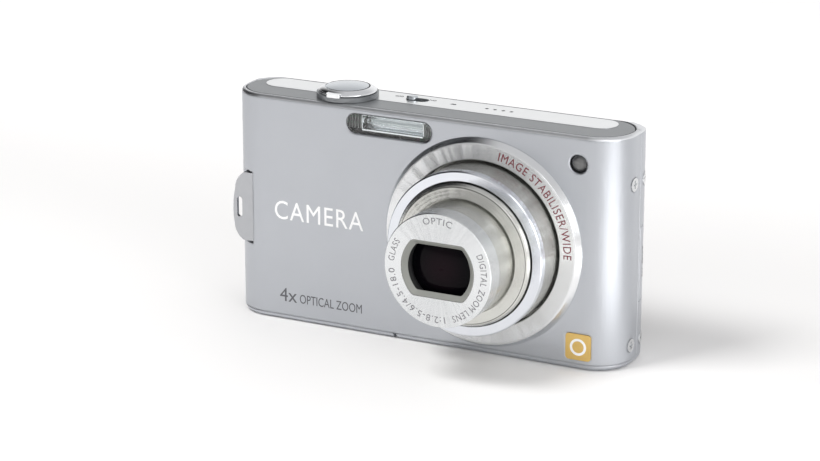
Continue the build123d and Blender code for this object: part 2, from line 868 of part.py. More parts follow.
# Flash reflector: a flared trough, open at the front.
with BuildPart() as flash_reflector:
    with BuildSketch(Plane.YZ.offset(-14.2)):
        with BuildLine():
            Polyline(
                (-8.5, 46.75),
                (-8.5, 47.05),
                (-5.9, 47.75),
                (-5.6, 48.3),
                (-5.6, 48.8),
                (-5.9, 49.35),
                (-8.5, 50.05),
                (-8.5, 50.35),
                (-5.7, 49.75),
                (-5.2, 49.0),
                (-5.2, 48.1),
                (-5.7, 47.35),
                close=True,
            )
        make_face()
    extrude(amount=14.8)
save(flash_reflector, "flash_reflector")

with BuildPart() as flash_tube:
    with BuildSketch(Plane.YZ.offset(-14.6)):
        with Locations((-6.75, 48.55)):
            Circle(0.65)
    extrude(amount=15.6)
save(flash_tube, "flash_tube")

with BuildPart() as flash_capacitor:
    with BuildSketch(level(16.5)):
        with Locations((41.0, -3.4)):
            Circle(3.2)
    extrude(amount=23.5)
    fillet(flash_capacitor.edges().group_by(Axis.Z)[-1], 0.5)
save(flash_capacitor, "flash_capacitor")

lamp_axis = Axis((lamp_x, 0, lamp_z), (0, 1, 0))
with BuildPart() as af_lamp_lens:
    with BuildSketch(Plane(origin=(lamp_x, 0, lamp_z))):
        with BuildLine():
            Polyline((0, -9.6), (0, -7.2), (lamp_radius - 0.08, -7.2), (lamp_radius - 0.08, -8.9))
            ThreePointArc((lamp_radius - 0.08, -8.9), dome_middle(lamp_radius - 0.08, -9.6, -8.9), (0, -9.6))
        make_face()
    revolve(axis=lamp_axis)
save(af_lamp_lens, "af_lamp_lens")

with BuildPart() as front_badge:
    with BuildSketch(facing(front_y + 0.23)):
        with Locations((badge_x, badge_z)):
            RectangleRounded(badge_size, badge_size, 0.8)
    extrude(amount=0.3)
save(front_badge, "front_badge")

# ---------------------------------------------------------------- controls on top

# Zoom lever: a ring with a sloping crown round the shutter button, and a finger tab at the front.
turret_axis = Axis((turret_x, turret_y, 0), (0, 0, 1))
turret_section = Plane(origin=(turret_x, turret_y, 0), x_dir=(1, 0, 0), z_dir=(0, -1, 0))
lever_low = turret_top + 0.1
lever_top = 54.4
with BuildPart() as zoom_lever:
    with BuildSketch(turret_section):
        with BuildLine():
            Polyline(
                (2.7, 50.2),
                (4.9, 50.2),
                (4.9, cover_bottom - 0.15),
                (4.2, cover_bottom - 0.15),
                (4.2, lever_low),
                (6.4, lever_low),
            )
            ThreePointArc((6.4, lever_low), (6.52, lever_low + 0.28), (6.3, lever_low + 0.52))
            ThreePointArc((6.3, lever_low + 0.52), (5.75, lever_low + 0.85), (5.05, lever_top))
            Polyline((5.05, lever_top), (5.05, 53.6), (2.7, 53.6), (2.7, 50.2))
        make_face()
    revolve(axis=turret_axis)
    with BuildSketch(level(lever_low)):
        with Locations((turret_x, turret_y - 6.1)):
            RectangleRounded(3.6, 2.6, 0.9)
        with Locations((turret_x, turret_y)):
            Circle(5.6, mode=Mode.SUBTRACT)
    extrude(amount=0.75)
save(zoom_lever, "zoom_lever")

# Shutter button: a shallow dome on a stem that reaches the switch below.
with BuildPart() as shutter_button:
    with BuildSketch(turret_section):
        with BuildLine():
            Polyline(
                (0, 49.7),
                (3.4, 49.7),
                (3.4, 50.1),
                (2.5, 50.1),
                (2.5, 54.28),
                (4.75, 54.28),
                (4.75, 54.42),
            )
            ThreePointArc((4.75, 54.42), dome_middle(4.75, 54.95, 54.42), (0, 54.95))
            Line((0, 54.95), (0, 49.7))
        make_face()
    revolve(axis=turret_axis)
save(shutter_button, "shutter_button")

with BuildPart() as power_switch:
    with BuildSketch(level(51.35)):
        with Locations((switch_x - 1.25, control_y)):
            RectangleRounded(2.5, 2.1, 0.9)
    extrude(amount=1.6)
    fillet(power_switch.edges().group_by(Axis.Z)[-1], 0.3)
    with BuildSketch(level(49.9)):
        with Locations((switch_x - 1.25, control_y)):
            Rectangle(1.4, 1.0)
    extrude(amount=51.35 - 49.9)
    with BuildSketch(level(49.7)):
        with Locations((switch_x - 1.25, control_y)):
            Rectangle(3.0, 2.4)
    extrude(amount=0.9)
save(power_switch, "power_switch")

with BuildPart() as top_board:
    with BuildSketch(level(48.2)):
        with Locations((-16.5, 0.25)):
            RectangleRounded(27, 9.1, 0.8)
    extrude(amount=0.6)
    with BuildSketch(level(48.8)):
        with Locations((turret_x, turret_y)):
            Circle(1.8)
    extrude(amount=0.2)
save(top_board, "top_board")

with BuildPart() as speaker:
    with BuildSketch(level(48.3)):
        with Locations((13.85, control_y)):
            RectangleRounded(12, 7, 1.5)
    extrude(amount=2.3)
save(speaker, "speaker")

# ---------------------------------------------------------------- rear: screen and keys

with BuildPart() as screen_window:
    with BuildSketch(facing(rear_y + 0.1)):
        with Locations((screen_x, screen_z)):
            RectangleRounded(screen_width, screen_height, 1.2)
    extrude(amount=1.1)
    chamfer(screen_window.edges().group_by(Axis.Y)[-1], 0.15)
save(screen_window, "screen_window")

with BuildPart() as screen_panel:
    with Locations((screen_x, 7.6, screen_z)):
        Box(screen_width - 1.8, 2.2, screen_height - 2.0)
save(screen_panel, "screen_panel")

with BuildPart() as main_board:
    with BuildSketch(facing(6.35)):
        with Locations((18.1, 25.25)):
            RectangleRounded(50.8, 42.5, 1.0)
    extrude(amount=0.6)
save(main_board, "main_board")

with BuildPart() as key_board:
    with BuildSketch(facing(7.5)):
        with Locations((-30.0, 25.25)):
            RectangleRounded(26.6, 42.5, 1.0)
    extrude(amount=0.6)
save(key_board, "key_board")

# Four cursor keys: quarter rings round the menu button, each with a flange behind the casing.
key_turns = {"cursor_up": 90, "cursor_left": 0, "cursor_down": -90, "cursor_right": 180}
for name, turn in key_turns.items():
    low_end = (2 * pad_radius * cos(radians(turn - 42)), 2 * pad_radius * sin(radians(turn - 42)))
    high_end = (2 * pad_radius * cos(radians(turn + 42)), 2 * pad_radius * sin(radians(turn + 42)))
    with BuildPart() as cursor_key:
        for outer, inner, start_y, end_y in (
            (pad_radius + 0.5, 3.95, key_back_y, 8.75),
            (pad_radius, 4.1, 8.75, key_front_y),
        ):
            pad_plane = Plane(origin=(pad_x, end_y, pad_z), x_dir=(1, 0, 0), z_dir=(0, -1, 0))
            with BuildSketch(pad_plane):
                with BuildLine():
                    Polyline((0, 0), low_end, high_end, close=True)
                make_face()
                Circle(outer, mode=Mode.INTERSECT)
                Circle(inner, mode=Mode.SUBTRACT)
            extrude(amount=end_y - start_y)
    save(cursor_key, name)

with BuildPart() as menu_button:
    with BuildSketch(facing(8.75)):
        with Locations((pad_x, pad_z)):
            Circle(3.8)
    extrude(amount=8.75 - key_back_y)
    with BuildSketch(facing(key_front_y)):
        with Locations((pad_x, pad_z)):
            Circle(3.6)
    extrude(amount=key_front_y - 8.75)
    chamfer(menu_button.edges().group_by(Axis.Y)[-1], 0.15)
save(menu_button, "menu_button")

for name, x in (("display_button", pad_x + 5.4), ("delete_button", pad_x - 5.4)):
    with BuildPart() as small_key:
        with BuildSketch(facing(8.75)):
            with Locations((x, key_z)):
                SlotOverall(6.9, 3.5)
        extrude(amount=8.75 - key_back_y)
        with BuildSketch(facing(key_front_y)):
            with Locations((x, key_z)):
                SlotOverall(6.1, 2.7)
        extrude(amount=key_front_y - 8.75)
        chamfer(small_key.edges().group_by(Axis.Y)[-1], 0.15)
    save(small_key, name)

# Mode dial: a knurled disc on a short stem.
with BuildPart() as mode_dial:
    with BuildSketch(facing(rear_y + 0.55)):
        with Locations((dial_x, dial_z)):
            Circle(dial_radius)
            with PolarLocations(dial_radius, 36):
                Circle(0.22, mode=Mode.SUBTRACT)
    extrude(amount=rear_y + 0.55 - 8.5)
    with BuildSketch(facing(8.5)):
        with Locations((dial_x, dial_z)):
            Circle(2.0)
    extrude(amount=0.9)
save(mode_dial, "mode_dial")

# Socket behind the port door: a metal shell with a tongue in it.
with BuildPart() as av_socket:
    with Locations((42.6, 3.5, 22.0)):
        Box(5.2, 3.6, 8.0)
    with Locations((43.4, 3.5, 22.0)):
        Box(4.6, 2.9, 7.3, mode=Mode.SUBTRACT)
    with Locations((42.7, 3.5, 22.0)):
        Box(4.4, 0.8, 5.4)
save(av_socket, "av_socket")
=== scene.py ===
import bpy
import bmesh
from math import cos, sin, pi, radians
from mathutils import Matrix, Vector


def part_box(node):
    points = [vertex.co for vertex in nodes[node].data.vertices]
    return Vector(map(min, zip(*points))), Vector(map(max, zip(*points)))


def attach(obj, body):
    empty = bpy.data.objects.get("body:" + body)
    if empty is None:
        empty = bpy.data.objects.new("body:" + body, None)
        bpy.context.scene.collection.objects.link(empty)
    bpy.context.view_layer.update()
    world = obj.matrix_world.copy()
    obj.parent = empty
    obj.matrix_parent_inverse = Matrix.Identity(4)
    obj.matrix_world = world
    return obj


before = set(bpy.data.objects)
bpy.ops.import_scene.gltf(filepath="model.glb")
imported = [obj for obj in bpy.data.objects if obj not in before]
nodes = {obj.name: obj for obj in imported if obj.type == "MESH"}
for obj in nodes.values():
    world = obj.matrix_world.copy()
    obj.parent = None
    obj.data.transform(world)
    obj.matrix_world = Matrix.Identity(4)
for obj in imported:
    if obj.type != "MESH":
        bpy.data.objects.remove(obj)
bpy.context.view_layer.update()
mm = 0.001
print("frame loaded:", len(nodes), "nodes")


def middle(node):
    low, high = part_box(node)
    return (Vector(low) + Vector(high)) / 2


def lowest(node, axis):
    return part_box(node)[0][axis]


def highest(node, axis):
    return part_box(node)[1][axis]


def inMetres(values):
    return [value * mm for value in values]


lensCentre = middle("outer_barrel")  # every barrel turns on this axis
frontFace = lowest("front_casing", 1)
rearFace = highest("rear_casing", 1)
topFace = highest("top_plate", 2)

# shader maths, written as sums on node outputs


def feed(tree, socket, value):
    if isinstance(value, Wire):
        tree.links.new(value.socket, socket)
    else:
        socket.default_value = value


class Wire:  # one node output
    def __init__(self, tree, socket):
        self.tree = tree
        self.socket = socket

    def sum(self, operation, other, swap=False):
        node = self.tree.nodes.new("ShaderNodeMath")
        node.operation = operation
        first, second = (other, self) if swap else (self, other)
        feed(self.tree, node.inputs[0], first)
        feed(self.tree, node.inputs[1], second)
        return Wire(self.tree, node.outputs[0])

    def __add__(self, other):
        return self.sum("ADD", other)

    def __sub__(self, other):
        return self.sum("SUBTRACT", other)

    def __rsub__(self, other):
        return self.sum("SUBTRACT", other, swap=True)

    def __mul__(self, other):
        return self.sum("MULTIPLY", other)

    def __truediv__(self, other):
        return self.sum("DIVIDE", other)

    def __rtruediv__(self, other):
        return self.sum("DIVIDE", other, swap=True)

    def __gt__(self, other):
        return self.sum("GREATER_THAN", other)

    def __lt__(self, other):
        return self.sum("LESS_THAN", other)

    __radd__ = __add__
    __rmul__ = __mul__

    def within(self, low, high):  # 1 between the two, 0 elsewhere
        return (self > low) * (self < high)


class Shading:  # a node tree, and the one way that nodes are added to it
    def __init__(self, tree):
        self.tree = tree

    def node(self, kind, settings=None, inputs=None, output=0):
        made = self.tree.nodes.new(kind)
        for key, value in (settings or {}).items():
            setattr(made, key, value)
        for key, value in (inputs or {}).items():
            feed(self.tree, made.inputs[key], value)
        return Wire(self.tree, made.outputs[output])

    def join(self, x, y, z):
        return self.node("ShaderNodeCombineXYZ", None, {0: x, 1: y, 2: z})

    def ramp(self, value, low, high):  # 0 at low, 1 at high, held outside
        inputs = {0: value, 1: low, 2: high, 3: 0.0, 4: 1.0}
        return self.node("ShaderNodeMapRange", {"interpolation_type": "SMOOTHSTEP"}, inputs)

    def mix(self, factor, first, second):
        return self.node("ShaderNodeMix", {"data_type": "RGBA"}, {0: factor, 6: first, 7: second}, 2)


class Finish(Shading):  # one material, with its coordinates in millimetres
    def __init__(self, name, soften=0, **values):
        self.material = bpy.data.materials.new(name)
        self.material.use_nodes = True
        super().__init__(self.material.node_tree)
        self.shader = self.tree.nodes["Principled BSDF"]
        for socket, value in values.items():
            self.shader.inputs[socket.replace("_", " ")].default_value = value
        coords = self.tree.nodes.new("ShaderNodeTexCoord")
        self.facing = Wire(self.tree, coords.outputs["Normal"])
        if soften:  # edges of the piece shade as if worn round
            worn = self.node("ShaderNodeBevel", {"samples": 8}, {"Radius": soften * mm})
            self.facing = self.turn(worn, "WORLD", "OBJECT")
        inObject = Wire(self.tree, coords.outputs["Object"])
        self.place = self.vector("SCALE", {0: inObject, "Scale": 1 / mm})
        split = self.tree.nodes.new("ShaderNodeSeparateXYZ")
        feed(self.tree, split.inputs[0], self.place)
        self.x, self.y, self.z = [Wire(self.tree, end) for end in split.outputs]

    def vector(self, operation, inputs):
        return self.node("ShaderNodeVectorMath", {"operation": operation}, inputs)

    def noise(self, scale, stretch=(1, 1, 1), detail=2.0):
        spot = self.vector("MULTIPLY", {0: self.place, 1: stretch})
        return self.node("ShaderNodeTexNoise", None, {"Vector": spot, "Scale": scale, "Detail": detail})

    def maths(self, operation, value):  # a sum of one value
        return self.node("ShaderNodeMath", {"operation": operation}, {0: value})

    def drive(self, socket, value):
        feed(self.tree, self.shader.inputs[socket], value)
        return self

    def radius(self, centre):  # distance from an axis that runs along Y
        dx = self.x - centre[0] / mm
        dz = self.z - centre[2] / mm
        return self.maths("SQRT", dx * dx + dz * dz), dx, dz

    def turn(self, vector, start, end):  # a normal, turned from one space to the other
        settings = {"vector_type": "NORMAL", "convert_from": start, "convert_to": end}
        return self.node("ShaderNodeVectorTransform", settings, {0: vector})

    def lean(self, tilt):  # leans the surface's normal by a small vector
        leaned = self.vector("NORMALIZE", {0: self.vector("ADD", {0: self.facing, 1: tilt})})
        return self.drive("Normal", self.turn(leaned, "OBJECT", "WORLD"))

    def bump(self, scale, depth):  # moulded grain
        grain = {"Height": self.noise(scale), "Distance": depth * mm}
        return self.drive("Normal", self.node("ShaderNodeBump", None, grain))


def colour(r, g, b):
    return (r, g, b, 1.0)


def grey(level):
    return colour(level, level, level)


def cloudy(name, first, second, scale=0.35, **values):  # slow colour drift over a piece
    made = Finish(name, **values)
    return made.drive("Base Color", made.mix(made.noise(scale), colour(*first), colour(*second)))


def spun(made, centre, depth, pitch=0.11):  # turned metal: fine rings round an axis along Y
    r, dx, dz = made.radius(centre)
    around = made.join(dx / r, 0.0, dz / r)
    streak = made.node("ShaderNodeTexNoise", None, {"Vector": around, "Scale": 14.0, "Detail": 3.0})
    sway = made.ramp(streak, 0.3, 0.7) * 0.5 + 0.7
    grain = made.maths("SINE", r * (2 * pi / pitch)) * depth * sway
    along = made.maths("SINE", made.y * (2 * pi / pitch)) * depth * sway
    made.lean(made.join(dx / r * grain, along, dz / r * grain))
    return r


def blasted(made, depth, streak=0.0):  # fine satin grain, with upright hairlines if streak is given
    fine = [made.noise(3.5 + i, detail=1.0) - 0.5 for i in range(3)]
    hair = (made.noise(5.0, stretch=(1, 1, 0.04), detail=1.0) - 0.5) * streak
    return made.lean(made.join(fine[0] * depth + hair, fine[1] * depth + hair, fine[2] * depth))


def moulded(name, first, second, scale, depth, **values):
    return cloudy(name, first, second, **values).bump(scale, depth)


# casing: satin aluminium, its rounded top rim painted lighter as a painted highlight
casingLook = {"rimStart": 51.35, "rimEnd": 51.5, "wornRound": 0.8, "grain": 0.05, "hairlines": 0.10}
casing = Finish("casingAluminium", soften=casingLook["wornRound"], Metallic=1.0, IOR=1.5)
edge = casing.ramp(casing.z, casingLook["rimStart"], casingLook["rimEnd"])
tone = casing.mix(casing.noise(0.06), colour(0.505, 0.523, 0.555), colour(0.545, 0.563, 0.595))
# painted highlight: the top rim is coloured lighter than the rest of the casing, with the same satin roughness
casing.drive("Base Color", casing.mix(edge, tone, colour(0.80, 0.81, 0.83)))
wear = casing.mix(casing.noise(0.8, detail=4.0), grey(0.33), grey(0.39))
casing.drive("Roughness", casing.mix(edge, wear, grey(0.36)))
blasted(casing, casingLook["grain"], streak=casingLook["hairlines"])

coverGrey = cloudy("coverGrey", (0.225, 0.235, 0.245), (0.26, 0.27, 0.28), Metallic=0.6, Roughness=0.36)
blasted(coverGrey, 0.05)
plateSilver = cloudy("plateSilver", (0.87, 0.88, 0.89), (0.92, 0.93, 0.93), Metallic=1.0, Roughness=0.3)
blasted(plateSilver, 0.05)

# bezel: turned face, polished flank
bezelLook = {"flankStart": 22.45, "flankEnd": 22.6, "faceRings": 0.28, "flankLoses": 0.24}
bezelSilver = Finish("bezelSilver", soften=0.15, Metallic=1.0)
bezelRadius = bezelSilver.radius(lensCentre)[0]
flank = bezelSilver.ramp(bezelRadius, bezelLook["flankStart"], bezelLook["flankEnd"])
spun(bezelSilver, lensCentre, bezelLook["faceRings"] - flank * bezelLook["flankLoses"])
bezelSilver.drive("Base Color", bezelSilver.mix(flank, colour(0.80, 0.81, 0.82), colour(0.86, 0.87, 0.88)))
bezelSilver.drive("Roughness", bezelSilver.mix(flank, grey(0.26), grey(0.18)))

ringSilver = cloudy(
    "ringSilver", (0.76, 0.78, 0.79), (0.82, 0.83, 0.84), soften=0.1, Metallic=1.0, Roughness=0.27
)
spun(ringSilver, lensCentre, 0.26)

# barrels: satin metal, with thin rings painted dark at two radii as painted shade of grooves that are not
# modelled
grooveShadeRadii = ((15.05, 15.2), (17.6, 17.7))
barrelSatin = Finish("barrelSatin", soften=0.12, Metallic=1.0, Roughness=0.24)
barrelRadius = spun(barrelSatin, lensCentre, 0.24)
# painted shade: the rings at these radii are coloured dark in place of shaded grooves
grooveShade = barrelRadius.within(*grooveShadeRadii[0]) + barrelRadius.within(*grooveShadeRadii[1])
satin = barrelSatin.mix(barrelSatin.noise(0.35), colour(0.64, 0.64, 0.61), colour(0.70, 0.70, 0.665))
barrelSatin.drive("Base Color", barrelSatin.mix(grooveShade, satin, colour(0.16, 0.16, 0.15)))

chromeRing = cloudy(
    "chromeRing", (0.72, 0.745, 0.79), (0.77, 0.79, 0.83), soften=0.12, Metallic=1.0, Roughness=0.13
)
spun(chromeRing, lensCentre, 0.04)
chrome = cloudy("chrome", (0.82, 0.83, 0.85), (0.88, 0.89, 0.90), Metallic=1.0, Roughness=0.12)
blasted(chrome, 0.015)
capChrome = cloudy("capChrome", (0.58, 0.61, 0.64), (0.64, 0.67, 0.70), Metallic=1.0, Roughness=0.2)
blasted(capChrome, 0.02)
lugSteel = cloudy("lugSteel", (0.44, 0.45, 0.47), (0.50, 0.51, 0.53), Metallic=1.0, Roughness=0.28)
blasted(lugSteel, 0.05)
trimGrey = cloudy("trimGrey", (0.24, 0.245, 0.225), (0.28, 0.285, 0.265), Roughness=0.5)
blasted(trimGrey, 0.03)
screwSteel = cloudy("screwSteel", (0.68, 0.69, 0.70), (0.78, 0.79, 0.80), Metallic=1.0, Roughness=0.25)
blasted(screwSteel, 0.03)
brass = cloudy("brassInsert", (0.72, 0.55, 0.28), (0.80, 0.63, 0.34), Metallic=1.0, Roughness=0.3)
blasted(brass, 0.04)
gold = cloudy(
    "goldLacquer", (0.72, 0.475, 0.135), (0.78, 0.53, 0.17), 1.0,
    Metallic=0.7, Roughness=0.36, Coat_Weight=0.4,
)
blasted(gold, 0.03)
keySilver = cloudy("keySilver", (0.52, 0.53, 0.56), (0.58, 0.59, 0.62), Metallic=0.85, Roughness=0.3)
blasted(keySilver, 0.03)
dialMetal = cloudy("dialMetal", (0.34, 0.35, 0.37), (0.40, 0.41, 0.43), Metallic=0.9, Roughness=0.3)
spun(dialMetal, middle("mode_dial"), 0.12)

# mouldings, boards and the parts inside
blackMoulding = moulded(
    "blackMoulding", (0.012, 0.012, 0.013), (0.02, 0.02, 0.021), 6.0, 0.02, Roughness=0.55
)
greyMoulding = moulded("greyMoulding", (0.07, 0.07, 0.075), (0.10, 0.10, 0.105), 6.0, 0.02, Roughness=0.5)
cardBlue = moulded("cardBlue", (0.02, 0.04, 0.13), (0.03, 0.05, 0.16), 8.0, 0.01, Roughness=0.45)
batteryWrap = moulded(
    "batteryWrap", (0.045, 0.05, 0.055), (0.07, 0.075, 0.08), 4.0, 0.01, Roughness=0.38
)
sensorGlass = cloudy(
    "sensorGlass", (0.03, 0.06, 0.06), (0.08, 0.05, 0.1), 2.0, Roughness=0.1, Coat_Weight=1.0
)
boardLook = {"trackScale": 0.7, "trackWidth": 0.42}
boardGreen = Finish("boardGreen", Roughness=0.35, Coat_Weight=0.4)
tracks = boardGreen.node(
    "ShaderNodeTexVoronoi", {"distance": "MANHATTAN"},
    {"Vector": boardGreen.place, "Scale": boardLook["trackScale"]},
)
track = tracks > boardLook["trackWidth"]
boardGreen.drive("Base Color", boardGreen.mix(track, colour(0.01, 0.11, 0.045), colour(0.02, 0.20, 0.09)))

# glass, lamp and screen
lensGlass = Finish("lensGlass", Roughness=0.03, IOR=1.5, Specular_IOR_Level=0.06)
# painted reflection: the glass is faintly reddish at the middle and darker outward, in place of reflections
# from the inner lens elements
outward = lensGlass.ramp(lensGlass.radius(lensCentre)[0], 1.0, 7.0)
lensGlass.drive("Base Color", lensGlass.mix(outward, colour(0.008, 0.004, 0.006), colour(0.002, 0.002, 0.003)))
clearWindow = cloudy(
    "clearWindow", (0.90, 0.93, 0.93), (0.96, 0.98, 0.98), Roughness=0.06, IOR=1.49, Transmission_Weight=1.0
)
lampGlass = Finish("lampGlass", Roughness=0.08, IOR=1.49, Coat_Weight=1.0, Coat_Roughness=0.05)
# painted shade: the lamp lens darkens towards its rim, where it sits in its recess
lampRimShade = lampGlass.ramp(lampGlass.radius(middle("af_lamp_lens"))[0], 0.9, 1.4)
lampGlass.drive("Base Color", lampGlass.mix(lampRimShade, grey(0.10), colour(0.045, 0.046, 0.048)))
pictureSize = {"halfWidth": 25.6, "halfHeight": 19.2, "rise": 0.6}
screenGlass = Finish("screenGlass", Roughness=0.05, Coat_Weight=1.0, Coat_Roughness=0.03)
screenMid = middle("screen_window") / mm
across = screenGlass.maths("ABSOLUTE", screenGlass.x - screenMid.x)
upward = screenGlass.maths("ABSOLUTE", screenGlass.z - screenMid.z - pictureSize["rise"])
picture = (across < pictureSize["halfWidth"]) * (upward < pictureSize["halfHeight"])
shown = screenGlass.mix(picture, colour(0.006, 0.006, 0.007), colour(0.022, 0.024, 0.03))
screenGlass.drive("Base Color", shown)
screenGlass.drive("Roughness", screenGlass.mix(screenGlass.noise(0.2), grey(0.04), grey(0.08)))

# paints and small parts
ribGrey = cloudy("ribGrey", (0.17, 0.18, 0.17), (0.22, 0.23, 0.22), 2.0, Roughness=0.4, Metallic=0.3)
lampGreen = cloudy("lampGreen", (0.03, 0.22, 0.07), (0.05, 0.30, 0.10), 2.0, Roughness=0.15, Coat_Weight=1.0)
paintWhite = cloudy("paintWhite", (0.93, 0.93, 0.93), (0.97, 0.97, 0.97), 2.0, Roughness=0.4)
paintGrey = cloudy("paintGrey", (0.10, 0.10, 0.11), (0.13, 0.13, 0.14), 2.0, Roughness=0.45)
paintRed = cloudy("paintRed", (0.14, 0.012, 0.022), (0.18, 0.02, 0.03), 2.0, Roughness=0.5)
engraved = cloudy("engravedGrey", (0.19, 0.19, 0.20), (0.23, 0.23, 0.24), 2.0, Roughness=0.5)

wearing = {
    casing: ("front_casing", "rear_casing", "base_cover", "battery_door", "port_door"),
    coverGrey: ("top_cover",),
    plateSilver: ("top_plate",),
    bezelSilver: ("lens_bezel",),
    ringSilver: ("name_ring",),
    barrelSatin: ("outer_barrel", "middle_barrel", "inner_barrel"),
    chromeRing: ("outer_barrel_ring",),
    chrome: ("zoom_lever", "flash_reflector"),
    capChrome: ("shutter_button", "power_switch"),
    lugSteel: ("strap_lug",),
    trimGrey: ("window_frame",),
    screwSteel: ("casing_screws", "zoom_motor", "door_hinge_pin", "av_socket"),
    brass: ("tripod_socket", "zoom_pinion"),
    gold: ("front_badge",),
    blackMoulding: (
        "lens_housing", "front_lens_holder", "focus_carriage", "battery_bay", "speaker",
        "barrier_blade_upper", "barrier_blade_lower",
    ),
    greyMoulding: ("chassis", "zoom_gear", "battery_door_latch", "screen_panel"),
    keySilver: (
        "cursor_up", "cursor_down", "cursor_left", "cursor_right",
        "menu_button", "display_button", "delete_button",
    ),
    dialMetal: ("mode_dial",),
    boardGreen: ("main_board", "key_board", "top_board", "sensor_board"),
    cardBlue: ("memory_card",),
    batteryWrap: ("battery", "flash_capacitor"),
    sensorGlass: ("image_sensor",),
    lensGlass: ("front_lens", "zoom_lens", "focus_lens"),
    clearWindow: ("flash_window", "flash_tube"),
    lampGlass: ("af_lamp_lens",),
    screenGlass: ("screen_window",),
}
for made, names in wearing.items():
    for name in names:
        for holder in nodes[name].material_slots:
            holder.material = made.material
print("finishes made")

# how letters lie on each face: their own x, y and outward directions
onFront = Matrix(((1, 0, 0), (0, 0, -1), (0, 1, 0))).to_4x4()
onRear = Matrix(((-1, 0, 0), (0, 0, 1), (0, 1, 0))).to_4x4()
onTop = Matrix(((-1, 0, 0), (0, -1, 0), (0, 0, 1))).to_4x4()
onBase = Matrix(((1, 0, 0), (0, -1, 0), (0, 0, -1))).to_4x4()
smoothAngle = radians(35)
hairsbreadth = 1e-7  # metres, within which two heights are the same


def clearSelection():
    if bpy.context.mode != "OBJECT":
        bpy.ops.object.mode_set(mode="OBJECT")
    bpy.ops.object.select_all(action="DESELECT")


def keep(piece, name, made, body):
    piece.name = name
    piece.data.materials.clear()
    piece.data.materials.append(made.material)
    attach(piece, body)
    return piece


def settle():  # puts the active piece's place into its mesh
    bpy.ops.object.transform_apply(location=True, rotation=True, scale=True)
    return bpy.context.object


textLook = {"capitalShare": 0.7, "thickness": 0.03, "curveSteps": 4}


def flatText(words, height, width=None, spacing=1.0):
    clearSelection()
    bpy.ops.object.text_add()
    text = bpy.context.object
    text.data.body = words
    text.data.size = height * mm / textLook["capitalShare"]
    text.data.space_character = spacing
    text.data.extrude = textLook["thickness"] * mm
    text.data.align_x = "CENTER"
    text.data.align_y = "CENTER"
    text.data.resolution_u = textLook["curveSteps"]
    bpy.ops.object.convert(target="MESH")
    text = bpy.context.object
    if width:
        text.scale.x = width * mm / text.dimensions.x
        settle()
    return text


def letter(name, words, height, at, lie, made, body, width=None, spacing=1.0):
    text = flatText(words, height, width, spacing)
    text.data.transform(Matrix.Translation(Vector(at)) @ lie)
    return keep(text, name, made, body)


def ringLetter(name, words, height, radius, start, end, made, body, y):  # set round the lens axis
    text = flatText(words, height, width=radius * radians(start - end), spacing=1.15)
    for point in text.data.vertices:
        turn = radians((start + end) / 2) - point.co.x / (radius * mm)
        reach = radius * mm + point.co.y
        point.co = (lensCentre.x + reach * cos(turn), y - point.co.z, lensCentre.z + reach * sin(turn))
    return keep(text, name, made, body)


def disc(name, radius, thickness, at, lie, made, body, hole=0, rim=0, sides=64):
    clearSelection()
    bpy.ops.mesh.primitive_cylinder_add(vertices=sides, radius=radius * mm, depth=thickness * mm)
    piece = bpy.context.object
    bpy.ops.object.mode_set(mode="EDIT")
    bpy.ops.mesh.select_mode(type="FACE")
    bpy.ops.mesh.select_all(action="DESELECT")
    shell = bmesh.from_edit_mesh(piece.data)
    for face in shell.faces:
        face.select = face.normal.z > 0.9 or (hole > 0 and face.normal.z < -0.9)
    bmesh.update_edit_mesh(piece.data)
    if hole:
        bpy.ops.mesh.inset(thickness=(radius - hole) * mm, use_even_offset=False)
        bpy.ops.mesh.bridge_edge_loops()
    if rim:  # rounds the edge of the top face
        shell = bmesh.from_edit_mesh(piece.data)
        bpy.ops.mesh.select_mode(type="EDGE")
        bpy.ops.mesh.select_all(action="DESELECT")
        for line in shell.edges:
            level = all(abs(corner.co.z - thickness * mm / 2) < hairsbreadth for corner in line.verts)
            line.select = level and len(line.link_faces) == 2 and abs(line.calc_face_angle(0)) > 1
        bmesh.update_edit_mesh(piece.data)
        bpy.ops.mesh.bevel(offset=rim * mm, segments=3, affect="EDGES")
    bpy.ops.object.mode_set(mode="OBJECT")
    bpy.ops.object.shade_smooth_by_angle(angle=smoothAngle)
    piece.data.transform(Matrix.Translation(Vector(at)) @ lie)
    return keep(piece, name, made, body)


def block(name, size, at, made, body, bevel=0.05, copies=1, pitch=(0, 0, 0), rows=1, rise=(0, 0, 0)):
    clearSelection()
    bpy.ops.mesh.primitive_cube_add(size=1, location=inMetres(at), scale=inMetres(size))
    piece = settle()
    bpy.ops.object.mode_set(mode="EDIT")
    bpy.ops.mesh.select_all(action="SELECT")
    bpy.ops.mesh.bevel(offset=bevel * mm, segments=2, affect="EDGES")
    for count, step in ((copies, pitch), (rows, rise)):
        bpy.ops.mesh.select_all(action="SELECT")
        for turn in range(count - 1):
            bpy.ops.mesh.duplicate_move(TRANSFORM_OT_translate={"value": inMetres(step)})
    bpy.ops.object.mode_set(mode="OBJECT")
    bpy.ops.object.shade_smooth_by_angle(angle=smoothAngle)
    return keep(piece, name, made, body)


# lettering on the front
frontNotes = {
    "maker_word": {
        "words": "CAMERA", "height": 4.3, "width": 22.4, "spacing": 1.1, "x": -25.0, "z": 25.7,
        "paint": paintWhite, "slot": "bezel_silver",
    },
    "zoom_figure": {
        "words": "4x", "height": 3.2, "width": 4.4, "spacing": 1.0, "x": -32.9, "z": 5.9,
        "paint": paintGrey, "slot": "moulding_grey",
    },
    "zoom_note": {
        "words": "OPTICAL ZOOM", "height": 2.1, "width": 15.8, "spacing": 1.0, "x": -22.0, "z": 5.5,
        "paint": paintGrey, "slot": "moulding_grey",
    },
}
for name, note in frontNotes.items():
    at = (note["x"] * mm, frontFace, note["z"] * mm)
    letter(
        name, note["words"], note["height"], at, onFront, note["paint"], "camera_body",
        width=note["width"], spacing=note["spacing"],
    )

